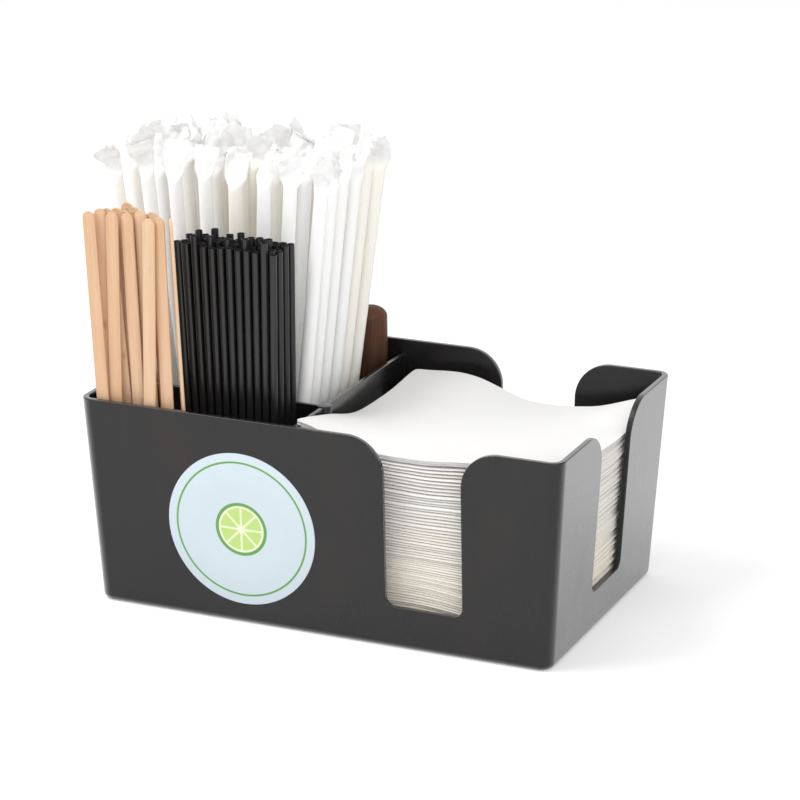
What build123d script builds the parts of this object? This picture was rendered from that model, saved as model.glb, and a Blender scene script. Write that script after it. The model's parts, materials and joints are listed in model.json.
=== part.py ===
from build123d import *
from math import cos, pi, sin, sqrt
from random import Random
import os

# Bar caddy: a moulded tray with flared walls, three open finger cut-outs and two dividers,
# filled with cocktail napkins, stir sticks, short black straws, wrapped straws and a muddler.
# Millimetres. The origin is the middle of the base, +X runs along the long side to the napkins,
# -Y is the front with the round label, +Z is up.

os.makedirs("parts", exist_ok=True)

# Tray
TRAY_LENGTH = 241.0          # over the rim, left to right
TRAY_WIDTH = 149.0           # over the rim, front to back
TRAY_HEIGHT = 101.5
END_FLARE = 5.9              # how far each end wall leans out from base to rim
SIDE_FLARE = 4.8             # the same for the front and back walls
WALL = 2.9
FLOOR = 3.0
CORNER_RADIUS = 6.7          # outer upright corners
FLOOR_BEVEL = 1.2            # inside, where walls meet the floor
BASE_ROUND = 3.0             # outside, round the base
BASE_ROUND_STEPS = 3
RIM_BEVEL = 0.6              # broken edges of the rim and the cut-outs

# Finger cut-outs of the napkin bay
CUTOUT_WIDTH = 38.0
CUTOUT_SILL = 20.3           # height of the bottom edge
CUTOUT_CORNER = 4.5          # rounding of the bottom corners
CUTOUT_SHOULDER = 18.0       # large round at the rim
CUTOUT_CENTRE_X = 53.3       # place of the front and back cut-outs
CUTOUT_CENTRE_Y = 0.0        # place of the end cut-out

# Dividers
DIVIDER_X = -17.7            # middle of the long divider, front to back
CROSS_DIVIDER_Y = -23.0      # middle of the cross divider, left of the long one
DIVIDER_THICKNESS = 2.2      # at the top edge
DIVIDER_DRAFT = 0.35         # how much each face spreads down to the floor
DIVIDER_DROP = 6.0           # how far the dividers stay below the rim
POST_DIAMETER = 7.3          # round post where the dividers meet
POST_RISE = 0.4              # how far the post stands over the dividers

# Label
LABEL_DIAMETER = 75.0
LABEL_THICKNESS = 0.25
LABEL_X = -37.6
LABEL_Z = 47.5

# Napkins
NAPKIN_SIDE = 123.8
NAPKIN_THICKNESS = 2.27
NAPKIN_GAP = 0.03            # air between two napkins
NAPKIN_CLEARANCE = 0.35      # from the round post
# From the floor up: napkins in the group, and its share of the top napkin's turn and slide.
NAPKIN_GROUPS = {
    "napkins_bottom": (10, 0.0),
    "napkins_lower": (9, 0.35),
    "napkins_middle": (8, 0.65),
    "napkins_upper": (6, 0.85),
}
NAPKIN_GROUP_GAP = 0.22      # more air where one group lies askew on another
NAPKIN_FLAT_COUNT = 19       # napkins that lie flat, the rest follow the top napkin more and more
NAPKIN_FOLLOW = 1.4          # how slowly they begin to follow it
NAPKIN_TURN = -1.0           # degrees that the top napkin is turned
NAPKIN_SLIDE = (0.2, -0.4)   # how far it has slid towards the right end and the front
TOP_NAPKIN_GAP = 0.35
# How far the top napkin rises over its lowest place: rows from front to back, each from left to right.
NAPKIN_RISES = [
    (11.8, 9.8, 8.4, 10.8, 9.0),
    (11.5, 8.6, 6.0, 6.0, 5.0),
    (4.5, 6.6, 4.0, 3.2, 3.2),
    (4.8, 7.2, 2.4, 1.8, 3.4),
    (8.0, 8.6, 0.4, 2.0, 11.4),
]

# Stir sticks
STICK_LENGTH = 190.0
STICK_WIDTH = 6.2
STICK_THICKNESS = 1.3
STICK_LAYER_PITCH = 1.9      # from one layer of sticks to the next one behind it
STICK_WALL_CLEARANCE = 0.5   # from the front wall at the rim
STICK_LEAN = 13.6            # how far a stick leans forward over its length
EDGE_STICK_TURN = -55.0      # degrees that a stick seen edge-on is turned about its length
# One stick a row: x at the rim, x at the top, layer from the front, rise off the floor, turned on edge.
STICKS = [
    (-109.2, -110.3, 0, 0.0, False),
    (-84.5, -79.3, 0, 0.0, False),
    (-69.0, -70.0, 0, 0.0, True),
    (-103.1, -99.2, 1, 0.6, False),
    (-76.4, -75.6, 1, 0.4, False),
    (-92.4, -92.6, 2, 0.0, False),
    (-107.2, -106.4, 2, 0.8, False),
    (-100.2, -104.0, 3, 1.0, False),
    (-86.6, -86.4, 3, 1.6, False),
    (-95.2, -96.0, 4, 0.0, False),
    (-80.2, -81.6, 4, 0.8, False),
    (-103.6, -101.0, 5, 0.4, False),
    (-90.2, -93.0, 6, 1.2, False),
    (-97.5, -98.5, 8, 1.8, False),
]

# Short black straws
STRAW_LENGTH = 170.0
STRAW_DIAMETER = 3.5
STRAW_WALL = 0.2
STRAW_SIDES = 8
STRAW_ROWS = 7
STRAW_COLUMNS = 12
STRAW_PITCH = 3.6            # from straw to straw in a row, at the floor
STRAW_ROW_PITCH = 3.4        # from row to row, at the floor
STRAW_SPREAD = 1.24          # how much wider the bundle is at the top
STRAW_SQUEEZE = 0.92         # how much shallower it is at the top
STRAW_BACK_CLEARANCE = 3.2   # from the cross divider to the last row
STRAW_SIDE_CLEARANCE = 10.2  # from the long divider
STRAW_UNEVEN = 2.2           # difference in height from straw to straw
STRAW_PULLED = 4.5           # how far a few straws are pulled up
STRAW_PULLED_SHARE = 0.1     # the share of straws pulled up

# Wrapped straws
WRAPPED_LENGTH = 209.0
WRAPPED_DIAMETER = 6.6
WRAPPED_SIDES = 8
WRAPPED_END = 13.0           # flat end of the paper sleeve
WRAPPED_END_SPREAD = 7.0     # part of that over which it spreads to its full width
WRAPPED_END_TONGUE = 2.0     # how far the flat end runs into the round part
WRAPPED_END_NECK = 0.8       # width of that tongue as a share of the diameter
WRAPPED_TOP_WIDTH = 10.4     # width of the flat top end
WRAPPED_FOOT_WIDTH = 7.0     # width of the flat bottom end
WRAPPED_PAPER = 0.6          # thickness of the flat ends
WRAPPED_COLUMNS = 8
WRAPPED_ROWS = 6
WRAPPED_FOOT_X = (-99.6, -41.5)     # first and last column at the floor
WRAPPED_TOP_X = (-128.5, -20.8)     # the same at the top
WRAPPED_FOOT_Y = (-15.5, 34.0)      # first and last row at the floor
WRAPPED_TOP_Y = (-17.0, 49.5)       # the same at the top
WRAPPED_UNEVEN = 3.0         # difference in height from straw to straw
WRAPPED_STRAY = 1.4          # how far a sleeve's top strays from its place
WRAPPED_SEAT = 0.8           # a leaning sleeve's foot has its middle this much over the floor

# Muddler
MUDDLER_LENGTH = 117.0
MUDDLER_FOOT_RADIUS = 9.5
MUDDLER_TOP_RADIUS = 8.2
MUDDLER_DOME = 5.5           # height of the rounded top
MUDDLER_DOME_STEPS = 4
MUDDLER_SIDES = 18           # narrow flats round the carved stem
MUDDLER_TOP_FLAT = 1.6       # radius of the flat in the middle of the dome
MUDDLER_FOOT_BEVEL = 1.0
MUDDLER_SEAT = 0.7           # the leaning foot's middle stands this much over the floor
MUDDLER_CLEARANCE = 1.0      # from the walls that it stands in the corner of
MUDDLER_LEAN = (-2.4, 5.4)   # how far the top leans to the left and back

TRAY_TOP_OVERRUN = 6.0       # how far cutting solids run past the rim
SEAT_GAP = 0.2               # air under the things that stand on the floor


def half_length(z):
    """Half of the tray's outer length at height z."""
    return TRAY_LENGTH / 2 - END_FLARE * (1 - z / TRAY_HEIGHT)


def half_width(z):
    """Half of the tray's outer width at height z."""
    return TRAY_WIDTH / 2 - SIDE_FLARE * (1 - z / TRAY_HEIGHT)


def uneven(index, use="rise"):
    """A number from 0 to 1 that looks random, always the same for the same index and use."""
    return Random(f"{use} {index}").random()


def tray_section(z, inset):
    """The tray's outline at height z, drawn in by inset."""
    outline = RectangleRounded(
        2 * (half_length(z) - inset), 2 * (half_width(z) - inset), CORNER_RADIUS - inset
    )
    return Pos(0, 0, z) * outline


def outer_block():
    """The flared outside of the tray, rounded at the base and bevelled at the rim."""
    sections = []
    for step in range(BASE_ROUND_STEPS + 1):
        angle = step / BASE_ROUND_STEPS * pi / 2
        sections.append(tray_section(BASE_ROUND * (1 - cos(angle)), BASE_ROUND * (1 - sin(angle))))
    sections.append(tray_section(TRAY_HEIGHT - RIM_BEVEL, 0))
    sections.append(tray_section(TRAY_HEIGHT, RIM_BEVEL))
    return loft(sections, ruled=True)


def cavity():
    """The space inside the walls, with bevels along the floor and the rim, running on past the rim."""
    sections = [
        tray_section(FLOOR, WALL + FLOOR_BEVEL),
        tray_section(FLOOR + FLOOR_BEVEL, WALL),
        tray_section(TRAY_HEIGHT - RIM_BEVEL, WALL),
        tray_section(TRAY_HEIGHT, WALL - RIM_BEVEL),
        tray_section(TRAY_HEIGHT + TRAY_TOP_OVERRUN, WALL - RIM_BEVEL),
    ]
    return loft(sections, ruled=True)


def cutout_profile():
    """A finger cut-out seen square to its wall: a U with rounded corners and wide round shoulders."""
    top = TRAY_HEIGHT + TRAY_TOP_OVERRUN
    slot = Pos(0, (CUTOUT_SILL + top) / 2) * Rectangle(CUTOUT_WIDTH, top - CUTOUT_SILL)
    slot = fillet(slot.vertices().group_by(Axis.Y)[0], CUTOUT_CORNER)
    shoulder_z = TRAY_HEIGHT - CUTOUT_SHOULDER
    mouth_width = CUTOUT_WIDTH + 2 * CUTOUT_SHOULDER
    mouth = Pos(0, (shoulder_z + top) / 2) * Rectangle(mouth_width, top - shoulder_z)
    for side in (-1, 1):
        corner = Pos(side * mouth_width / 2, shoulder_z)
        mouth -= corner * Circle(CUTOUT_SHOULDER)
    return slot + mouth


def tray():
    """The one-piece moulding: floor, four flared walls and three finger cut-outs."""
    body = outer_block() - cavity()
    side_plane = Plane(origin=(CUTOUT_CENTRE_X, 0, 0), x_dir=(1, 0, 0), z_dir=(0, -1, 0))
    body -= extrude(side_plane * cutout_profile(), TRAY_WIDTH, both=True)
    end_plane = Plane(origin=(0, CUTOUT_CENTRE_Y, 0), x_dir=(0, 1, 0), z_dir=(1, 0, 0))
    body -= extrude(end_plane * cutout_profile(), TRAY_LENGTH)
    return body


def divider_plate(low_half, high_half, length):
    """An upright plate along Y, thicker at the floor, long enough to run into the walls."""
    top = TRAY_HEIGHT - DIVIDER_DROP
    profile = Polyline((-low_half, 0), (low_half, 0), (high_half, top), (-high_half, top), close=True)
    return extrude(Plane.XZ * make_face(profile), length / 2, both=True)


def post():
    """The round post where the two dividers meet."""
    height = TRAY_HEIGHT - DIVIDER_DROP + POST_RISE
    rod = Cylinder(POST_DIAMETER / 2, height, align=(Align.CENTER, Align.CENTER, Align.MIN))
    return Pos(DIVIDER_X, CROSS_DIVIDER_Y, 0) * rod


def dividers():
    """The long divider with its post, and the cross divider that meets it, cut to the cavity."""
    high_half = DIVIDER_THICKNESS / 2
    low_half = high_half + DIVIDER_DRAFT
    space = cavity()
    plate = Pos(DIVIDER_X, 0, 0) * divider_plate(low_half, high_half, TRAY_WIDTH)
    long_divider = (plate & space) + (post() & space)
    cross = Rot(0, 0, 90) * divider_plate(low_half, high_half, TRAY_LENGTH)
    cross = Pos(0, CROSS_DIVIDER_Y, 0) * cross
    left_side = Pos(DIVIDER_X, 0, 0) * Box(
        TRAY_LENGTH, TRAY_WIDTH, 2 * TRAY_HEIGHT, align=(Align.MAX, Align.CENTER, Align.CENTER)
    )
    cross_divider = (cross & left_side & space) - long_divider
    return long_divider, cross_divider


def label():
    """The round sticker on the sloping front wall."""
    slope = SIDE_FLARE / TRAY_HEIGHT
    face = Plane(
        origin=(LABEL_X, -half_width(LABEL_Z), LABEL_Z), x_dir=(1, 0, 0), z_dir=(0, -1, -slope)
    )
    return extrude(face * Circle(LABEL_DIAMETER / 2), LABEL_THICKNESS)


def napkin(bottom, low_share, high_share, slid):
    """
    A folded napkin whose lowest place is at height bottom. Its underside and its top follow
    the top napkin's rises by the two shares, and slid is its share of the top napkin's turn and slide.
    """
    rows = len(NAPKIN_RISES)
    sections = []
    for row, rises in enumerate(NAPKIN_RISES):
        across = [NAPKIN_SIDE * (column / (len(rises) - 1) - 0.5) for column in range(len(rises))]
        low = [(x, bottom + rise * low_share) for x, rise in zip(across, rises)]
        high = [(x, bottom + NAPKIN_THICKNESS + rise * high_share) for x, rise in zip(across, rises)]
        outline = Polyline(*low, *reversed(high), close=True)
        place = Plane.XZ.offset(NAPKIN_SIDE * (0.5 - row / (rows - 1)))
        sections.append(place * make_face(outline))
    if high_share == 0:
        sections = [sections[0], sections[-1]]
    centre_x = DIVIDER_X + POST_DIAMETER / 2 + NAPKIN_CLEARANCE + NAPKIN_SIDE / 2
    place = Pos(centre_x + NAPKIN_SLIDE[0] * slid, NAPKIN_SLIDE[1] * slid, 0)
    return place * (Rot(0, 0, NAPKIN_TURN * slid) * loft(sections, ruled=True))


def follow(index):
    """How far the surface under napkin index follows the top napkin's rises, from 0 to 1."""
    total = sum(count for count, _ in NAPKIN_GROUPS.values())
    return max(0.0, (index - NAPKIN_FLAT_COUNT) / (total - NAPKIN_FLAT_COUNT)) ** NAPKIN_FOLLOW


def napkin_nodes():
    """The stack in four groups, flat at the floor and more and more like the top napkin further up."""
    nodes = {}
    index = 0
    bottom = FLOOR
    for name, (count, slid) in NAPKIN_GROUPS.items():
        sheets = []
        for _ in range(count):
            sheets.append(napkin(bottom, follow(index), follow(index + 1), slid))
            bottom += NAPKIN_THICKNESS + NAPKIN_GAP
            index += 1
        bottom += NAPKIN_GROUP_GAP
        nodes[name] = Compound(sheets)
    nodes["top_napkin"] = napkin(bottom + TOP_NAPKIN_GAP - NAPKIN_GROUP_GAP, 1.0, 1.0, 1.0)
    return nodes


def stand(shape, foot, head, rise=0.0, turn=0.0):
    """Stand a shape made along +Z from foot towards head, drawn out by rise and turned about its length."""
    direction = Vector(*head) - Vector(*foot)
    plane = Plane(origin=foot, x_dir=Vector(0, 1, 0).cross(direction), z_dir=direction)
    return plane.location * (Pos(0, 0, rise) * (Rot(0, 0, turn) * shape))


def stick_blank():
    """A flat stick with full-round ends, lying in the XZ plane with its foot at the origin."""
    outline = SlotOverall(STICK_LENGTH, STICK_WIDTH, rotation=90)
    blank = extrude(outline, STICK_THICKNESS / 2, both=True)
    return Pos(0, 0, STICK_LENGTH / 2) * (Rot(90, 0, 0) * blank)


def stick_nodes():
    """The stir sticks in layers behind the front wall, each layer leaning forward alike."""
    blank = stick_blank()
    top_z = FLOOR + sqrt(STICK_LENGTH ** 2 - STICK_LEAN ** 2)
    forward = STICK_LEAN / (top_z - FLOOR)
    rim_y = WALL - half_width(TRAY_HEIGHT) + STICK_WALL_CLEARANCE + STICK_THICKNESS / 2
    nodes = {}
    for number, (rim_x, top_x, layer, rise, on_edge) in enumerate(STICKS, start=1):
        depth = STICK_WIDTH / 2 if on_edge else 0
        layer_y = rim_y + layer * STICK_LAYER_PITCH + depth
        foot_y = layer_y + forward * (TRAY_HEIGHT - FLOOR)
        foot_x = rim_x - (top_x - rim_x) * (TRAY_HEIGHT - FLOOR) / (top_z - TRAY_HEIGHT)
        foot = (foot_x, foot_y, FLOOR + SEAT_GAP)
        head = (top_x, foot_y - STICK_LEAN, top_z + SEAT_GAP)
        turn = EDGE_STICK_TURN if on_edge else 0.0
        nodes[f"stir_stick_{number:02d}"] = stand(blank, foot, head, rise, turn)
    return nodes


def straw_blank():
    """A thin tube with flat sides, open at both ends."""
    half_turn = 180 / STRAW_SIDES
    outside = RegularPolygon(STRAW_DIAMETER / 2, STRAW_SIDES, major_radius=False)
    bore = RegularPolygon(STRAW_DIAMETER / 2 - STRAW_WALL, STRAW_SIDES, major_radius=False)
    return extrude(Rot(0, 0, half_turn) * (outside - bore), STRAW_LENGTH)


def black_straw_nodes():
    """The bundle of short straws, a node for each row, wider and shallower at the top."""
    blank = straw_blank()
    radius = STRAW_DIAMETER / 2
    right_x = DIVIDER_X - DIVIDER_THICKNESS / 2 - DIVIDER_DRAFT - STRAW_SIDE_CLEARANCE - radius
    back_y = CROSS_DIVIDER_Y - DIVIDER_THICKNESS / 2 - DIVIDER_DRAFT - STRAW_BACK_CLEARANCE - radius
    nodes = {}
    for row in range(STRAW_ROWS):
        staggered = row % 2
        straws = []
        for column in range(STRAW_COLUMNS - staggered):
            across = (column + staggered / 2) * STRAW_PITCH
            deep = row * STRAW_ROW_PITCH
            number = row * STRAW_COLUMNS + column
            rise = STRAW_UNEVEN * uneven(number)
            if uneven(number, "pulled") < STRAW_PULLED_SHARE:
                rise += STRAW_PULLED
            foot = (right_x - across, back_y - deep, FLOOR + SEAT_GAP)
            head = (right_x - across * STRAW_SPREAD, back_y - deep * STRAW_SQUEEZE, foot[2] + STRAW_LENGTH)
            straws.append(stand(blank, foot, head, rise))
        nodes[f"black_straws_row_{row + 1}"] = Compound(straws)
    return nodes


def sleeve_end(width, flares=True):
    """The flat end of a paper sleeve, flaring from the straw to its full width or running straight."""
    half = WRAPPED_DIAMETER / 2
    neck = half * WRAPPED_END_NECK
    right = [(neck, -WRAPPED_END_TONGUE)]
    if flares:
        right += [(half, 0), (width / 2, WRAPPED_END_SPREAD)]
    right.append((width / 2, WRAPPED_END))
    left = [(-x, z) for x, z in reversed(right)]
    outline = Polyline(*right, *left, close=True)
    return extrude(Plane.XZ * make_face(outline), WRAPPED_PAPER / 2, both=True)


def wrapped_blank():
    """A straw in its closed paper sleeve, standing on one flat end."""
    body = extrude(
        RegularPolygon(WRAPPED_DIAMETER / 2, WRAPPED_SIDES, major_radius=False),
        WRAPPED_LENGTH - 2 * WRAPPED_END,
    )
    body = Pos(0, 0, WRAPPED_END) * body
    top = Pos(0, 0, WRAPPED_LENGTH - WRAPPED_END) * sleeve_end(WRAPPED_TOP_WIDTH)
    foot = Pos(0, 0, WRAPPED_END) * (Rot(180, 0, 0) * sleeve_end(WRAPPED_FOOT_WIDTH, flares=False))
    return body + top + foot


def between(ends, share):
    """The value at a share of the way from the first end to the last."""
    return ends[0] + (ends[1] - ends[0]) * share


def wrapped_straw_nodes():
    """The wrapped straws, a node for each row, fanned out over the left wall."""
    blank = wrapped_blank()
    nodes = {}
    for row in range(WRAPPED_ROWS):
        deep = row / (WRAPPED_ROWS - 1)
        straws = []
        for column in range(WRAPPED_COLUMNS):
            across = column / (WRAPPED_COLUMNS - 1)
            number = row * WRAPPED_COLUMNS + column
            rise = WRAPPED_UNEVEN * uneven(number, "wrapped")
            stray_x = WRAPPED_STRAY * (2 * uneven(number, "stray across") - 1)
            stray_y = WRAPPED_STRAY * (2 * uneven(number, "stray deep") - 1)
            foot = (between(WRAPPED_FOOT_X, across), between(WRAPPED_FOOT_Y, deep), FLOOR + WRAPPED_SEAT)
            head = (
                between(WRAPPED_TOP_X, across) + stray_x,
                between(WRAPPED_TOP_Y, deep) + stray_y,
                foot[2] + WRAPPED_LENGTH,
            )
            straws.append(stand(blank, foot, head, rise))
        nodes[f"wrapped_straws_row_{row + 1}"] = Compound(straws)
    return nodes


def muddler():
    """A tapered wooden muddler that stands in the rear corner beside the long divider."""
    shoulder = MUDDLER_LENGTH - MUDDLER_DOME
    rings = [(0, MUDDLER_FOOT_RADIUS - MUDDLER_FOOT_BEVEL), (MUDDLER_FOOT_BEVEL, MUDDLER_FOOT_RADIUS)]
    for step in range(MUDDLER_DOME_STEPS):
        angle = step / MUDDLER_DOME_STEPS * pi / 2
        rings.append((shoulder + MUDDLER_DOME * sin(angle), MUDDLER_TOP_RADIUS * cos(angle)))
    rings.append((MUDDLER_LENGTH, MUDDLER_TOP_FLAT))
    sections = [Pos(0, 0, height) * RegularPolygon(radius, MUDDLER_SIDES) for height, radius in rings]
    carved = loft(sections, ruled=True)
    reach = MUDDLER_FOOT_RADIUS + MUDDLER_CLEARANCE
    foot_x = DIVIDER_X - DIVIDER_THICKNESS / 2 - DIVIDER_DRAFT - reach
    foot_y = half_width(FLOOR) - WALL - reach
    foot = (foot_x, foot_y, FLOOR + MUDDLER_SEAT)
    head = (foot_x + MUDDLER_LEAN[0], foot_y + MUDDLER_LEAN[1], foot[2] + MUDDLER_LENGTH)
    return stand(carved, foot, head)


nodes = {"tray": tray(), "label": label(), "muddler": muddler()}
nodes["long_divider"], nodes["cross_divider"] = dividers()
nodes.update(napkin_nodes())
nodes.update(stick_nodes())
nodes.update(black_straw_nodes())
nodes.update(wrapped_straw_nodes())

for node_name, shape in nodes.items():
    export_step(shape, f"parts/{node_name}.step")
print(len(nodes), "nodes")
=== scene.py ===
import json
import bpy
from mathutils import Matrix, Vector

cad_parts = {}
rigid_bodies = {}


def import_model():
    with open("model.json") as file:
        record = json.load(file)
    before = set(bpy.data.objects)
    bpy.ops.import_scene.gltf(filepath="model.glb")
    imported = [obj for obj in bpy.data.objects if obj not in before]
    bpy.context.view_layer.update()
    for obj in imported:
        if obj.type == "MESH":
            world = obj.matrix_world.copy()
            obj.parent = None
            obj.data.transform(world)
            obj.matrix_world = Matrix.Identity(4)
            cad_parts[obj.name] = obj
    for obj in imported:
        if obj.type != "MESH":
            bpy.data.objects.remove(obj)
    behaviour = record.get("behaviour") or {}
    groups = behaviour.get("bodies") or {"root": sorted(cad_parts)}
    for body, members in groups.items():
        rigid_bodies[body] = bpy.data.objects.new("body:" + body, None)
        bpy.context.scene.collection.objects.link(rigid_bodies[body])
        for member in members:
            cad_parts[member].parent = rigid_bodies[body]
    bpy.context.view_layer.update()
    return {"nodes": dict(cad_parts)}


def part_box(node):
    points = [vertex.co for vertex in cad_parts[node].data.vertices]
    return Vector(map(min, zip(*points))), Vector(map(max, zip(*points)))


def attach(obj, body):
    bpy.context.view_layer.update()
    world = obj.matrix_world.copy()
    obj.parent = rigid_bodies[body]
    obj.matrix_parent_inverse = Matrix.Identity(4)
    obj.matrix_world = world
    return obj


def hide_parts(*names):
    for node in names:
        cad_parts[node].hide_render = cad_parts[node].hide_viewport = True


bl_info = {
    "name": "Bar Caddy",
    "version": (1, 0, 0),
    "blender": (4, 5, 0),
    "location": "View3D > Sidebar > Bar Caddy",
    "description": "Builds the finish of a moulded bar caddy and of the napkins, sticks and straws in it",
    "category": "Add Mesh",
}

from math import cos, pi, radians, sin, sqrt
from random import Random

import bmesh
import bpy
import numpy as np
from bpy.props import FloatProperty, FloatVectorProperty, IntProperty, PointerProperty
from mathutils import Euler, Vector, noise

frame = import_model()

MM = 0.001
STICKS = sorted(name for name in frame["nodes"] if name.startswith("stir_stick_"))
BLACK_ROWS = sorted(name for name in frame["nodes"] if name.startswith("black_straws_row_"))
WRAPPED_ROWS = sorted(name for name in frame["nodes"] if name.startswith("wrapped_straws_row_"))
# Each group of napkins from the floor up, and the share of the stack that it ends at.
NAPKIN_GROUPS = {
    "napkins_bottom": 10 / 33,
    "napkins_lower": 19 / 33,
    "napkins_middle": 27 / 33,
    "napkins_upper": 1.0,
}


def length(name, description, default, **limits):
    """A size in metres that a user may change."""
    return FloatProperty(name=name, description=description, default=default, unit="LENGTH", **limits)


def colour(name, description, default):
    """A colour that a user may change."""
    return FloatVectorProperty(
        name=name, description=description, default=default, size=3, subtype="COLOR", min=0, max=1
    )


def share(name, description, default):
    """A number from 0 to 1 that a user may change."""
    return FloatProperty(name=name, description=description, default=default, min=0, max=1, subtype="FACTOR")


def power(name, description, default):
    """The power of a lamp that a user may change."""
    return FloatProperty(name=name, description=description, default=default, unit="POWER")


# Sizes and colours


class MouldingSettings(bpy.types.PropertyGroup):
    wall: length("Wall", "Thickness of the walls", 2.9 * MM)
    floor: length("Floor", "Thickness of the floor", 3.0 * MM)
    end_flare: length("End flare", "How far each end wall leans out", 5.9 * MM)
    side_flare: length("Side flare", "How far the front and back walls lean out", 4.8 * MM)
    corner_radius: length("Corner radius", "Radius of the outer upright corners", 6.7 * MM)
    base_round: length("Base round", "Rounding under the walls", 3.0 * MM)
    floor_round: length("Floor round", "Rounding inside, where walls meet the floor", 1.2 * MM)
    edge_round: length("Edge round", "Rounding of the rim and the cut-outs", 0.6 * MM)
    cutout_width: length("Cut-out width", "Width of a finger cut-out", 38.0 * MM)
    cutout_sill: length("Cut-out sill", "Height of its bottom edge", 20.3 * MM)
    cutout_corner: length("Cut-out corner", "Rounding of its bottom corners", 4.5 * MM)
    cutout_shoulder: length("Cut-out shoulder", "Large round at the rim", 18.0 * MM)
    cutout_x: length("Cut-out place", "Where the front and back cut-outs are along the tray", 53.3 * MM)
    divider_top: length("Divider top", "Thickness of the dividers at their top edge", 2.2 * MM)
    divider_draft: length("Divider draft", "How much each face spreads down to the floor", 0.35 * MM)
    post_rise: length("Post rise", "How far the post stands over the dividers", 0.4 * MM)
    colour: colour("Colour", "Black of the moulding", (0.0090, 0.0088, 0.0100))
    smudge: colour("Smudge", "Brownish tint of the handling marks", (0.018, 0.0125, 0.0085))
    roughness: share("Roughness", "How satin the clean moulding is", 0.27)


class LabelSettings(bpy.types.PropertyGroup):
    paper: colour("Paper", "Pale face of the sticker", (0.60, 0.69, 0.745))
    rind: colour("Rind", "Green of the slice's rind and of the ring", (0.12, 0.33, 0.07))
    flesh: colour("Flesh", "Pale green of the slice's segments", (0.50, 0.68, 0.20))
    slice_radius: length("Slice radius", "Radius of the printed slice", 13.0 * MM)
    ring_radius: length("Ring radius", "Radius of the printed ring", 33.0 * MM)
    ring_width: length("Ring width", "Width of the printed ring", 0.7 * MM)


class NapkinSettings(bpy.types.PropertyGroup):
    leaves: IntProperty(name="Leaves", description="Folded leaves in the stack", default=66, min=8)
    top_leaves: IntProperty(name="Top leaves", description="Plies of the top napkin", default=8, min=2)
    top_pitch: length("Top pitch", "From one ply of the top napkin to the next", 0.28 * MM)
    slump: length("Slump", "How far the lower leaves bend up and down", 2.4 * MM)
    turn: FloatProperty(
        name="Turn", description="How far the top napkin is turned", default=radians(-3), unit="ROTATION"
    )
    slide: FloatVectorProperty(
        name="Slide", description="How far the top napkin has slid along X and Y", size=2,
        default=(2.8 * MM, -3.0 * MM), unit="LENGTH"
    )
    corner_radius: length("Corner radius", "Rounding of the corners", 2.0 * MM)
    shift: length("Shift", "How far a leaf lies out of line", 0.55 * MM)
    # White to Cream down the stack is painted shade: the lower leaves, deeper in the bay, get more cream.
    white: colour("White", "Fresh paper on top", (0.88, 0.875, 0.87))
    cream: colour("Cream", "Warm paper down the stack", (0.88, 0.835, 0.755))


class StickSettings(bpy.types.PropertyGroup):
    edge: length("Edge", "Broken edge of a stick", 0.22 * MM)
    bow: length("Bow", "How far a stick is bowed", 0.22 * MM)
    pale: colour("Pale", "Light birch", (0.77, 0.57, 0.39))
    warm: colour("Warm", "Darker birch", (0.66, 0.36, 0.185))
    fleck: colour("Fleck", "Small knots and mineral lines", (0.30, 0.13, 0.05))


class StrawSettings(bpy.types.PropertyGroup):
    diameter: length("Diameter", "Outside of a short straw", 3.5 * MM)
    wall: length("Wall", "Thickness of its wall", 0.2 * MM)
    sides: IntProperty(name="Sides", description="Sides of each round tube", default=20, min=8)
    colour: colour("Colour", "Black of the straws", (0.0085, 0.0085, 0.0095))


class WrapperSettings(bpy.types.PropertyGroup):
    diameter: length("Diameter", "Outside of a paper sleeve", 6.6 * MM)
    flat_end: length("Flat end", "Empty paper past the end of the straw", 17.0 * MM)
    end_width: length("End width", "Width of the flattened end", 12.0 * MM)
    paper: length("Paper", "Thickness of the flattened end", 0.25 * MM)
    sides: IntProperty(name="Sides", description="Sides of each sleeve", default=22, min=12)
    white: colour("White", "Bright paper", (0.95, 0.95, 0.945))
    cream: colour("Cream", "Paper over a cream straw", (0.91, 0.87, 0.78))


class MuddlerSettings(bpy.types.PropertyGroup):
    dome: length("Dome", "Height of the rounded top", 5.5 * MM)
    top_share: share("Top share", "Top radius as a share of the foot radius", 0.863)
    dark: colour("Dark", "Dark brown wood", (0.028, 0.011, 0.006))
    # Painted highlight: the orange colour on the muddler's domed top, where the light falls on it.
    painted_top_highlight: colour("Worn", "Worn wood near the top", (0.15, 0.055, 0.018))


class StageSettings(bpy.types.PropertyGroup):
    floor_colour: colour("Floor", "Colour of the floor", (0.86, 0.86, 0.865))
    floor_glow: share("Floor glow", "What the camera sees over the lit floor", 0.26)
    sky: share("Sky", "Light from all round", 0.76)
    key_power: power("Key power", "Power of the key lamp", 10.0)
    fill_power: power("Fill power", "Power of the fill lamp", 7.0)


SETTINGS = {
    "caddy_moulding": MouldingSettings,
    "caddy_label": LabelSettings,
    "caddy_napkins": NapkinSettings,
    "caddy_sticks": StickSettings,
    "caddy_straws": StrawSettings,
    "caddy_wrappers": WrapperSettings,
    "caddy_muddler": MuddlerSettings,
    "caddy_stage": StageSettings,
}


# Shading


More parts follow.
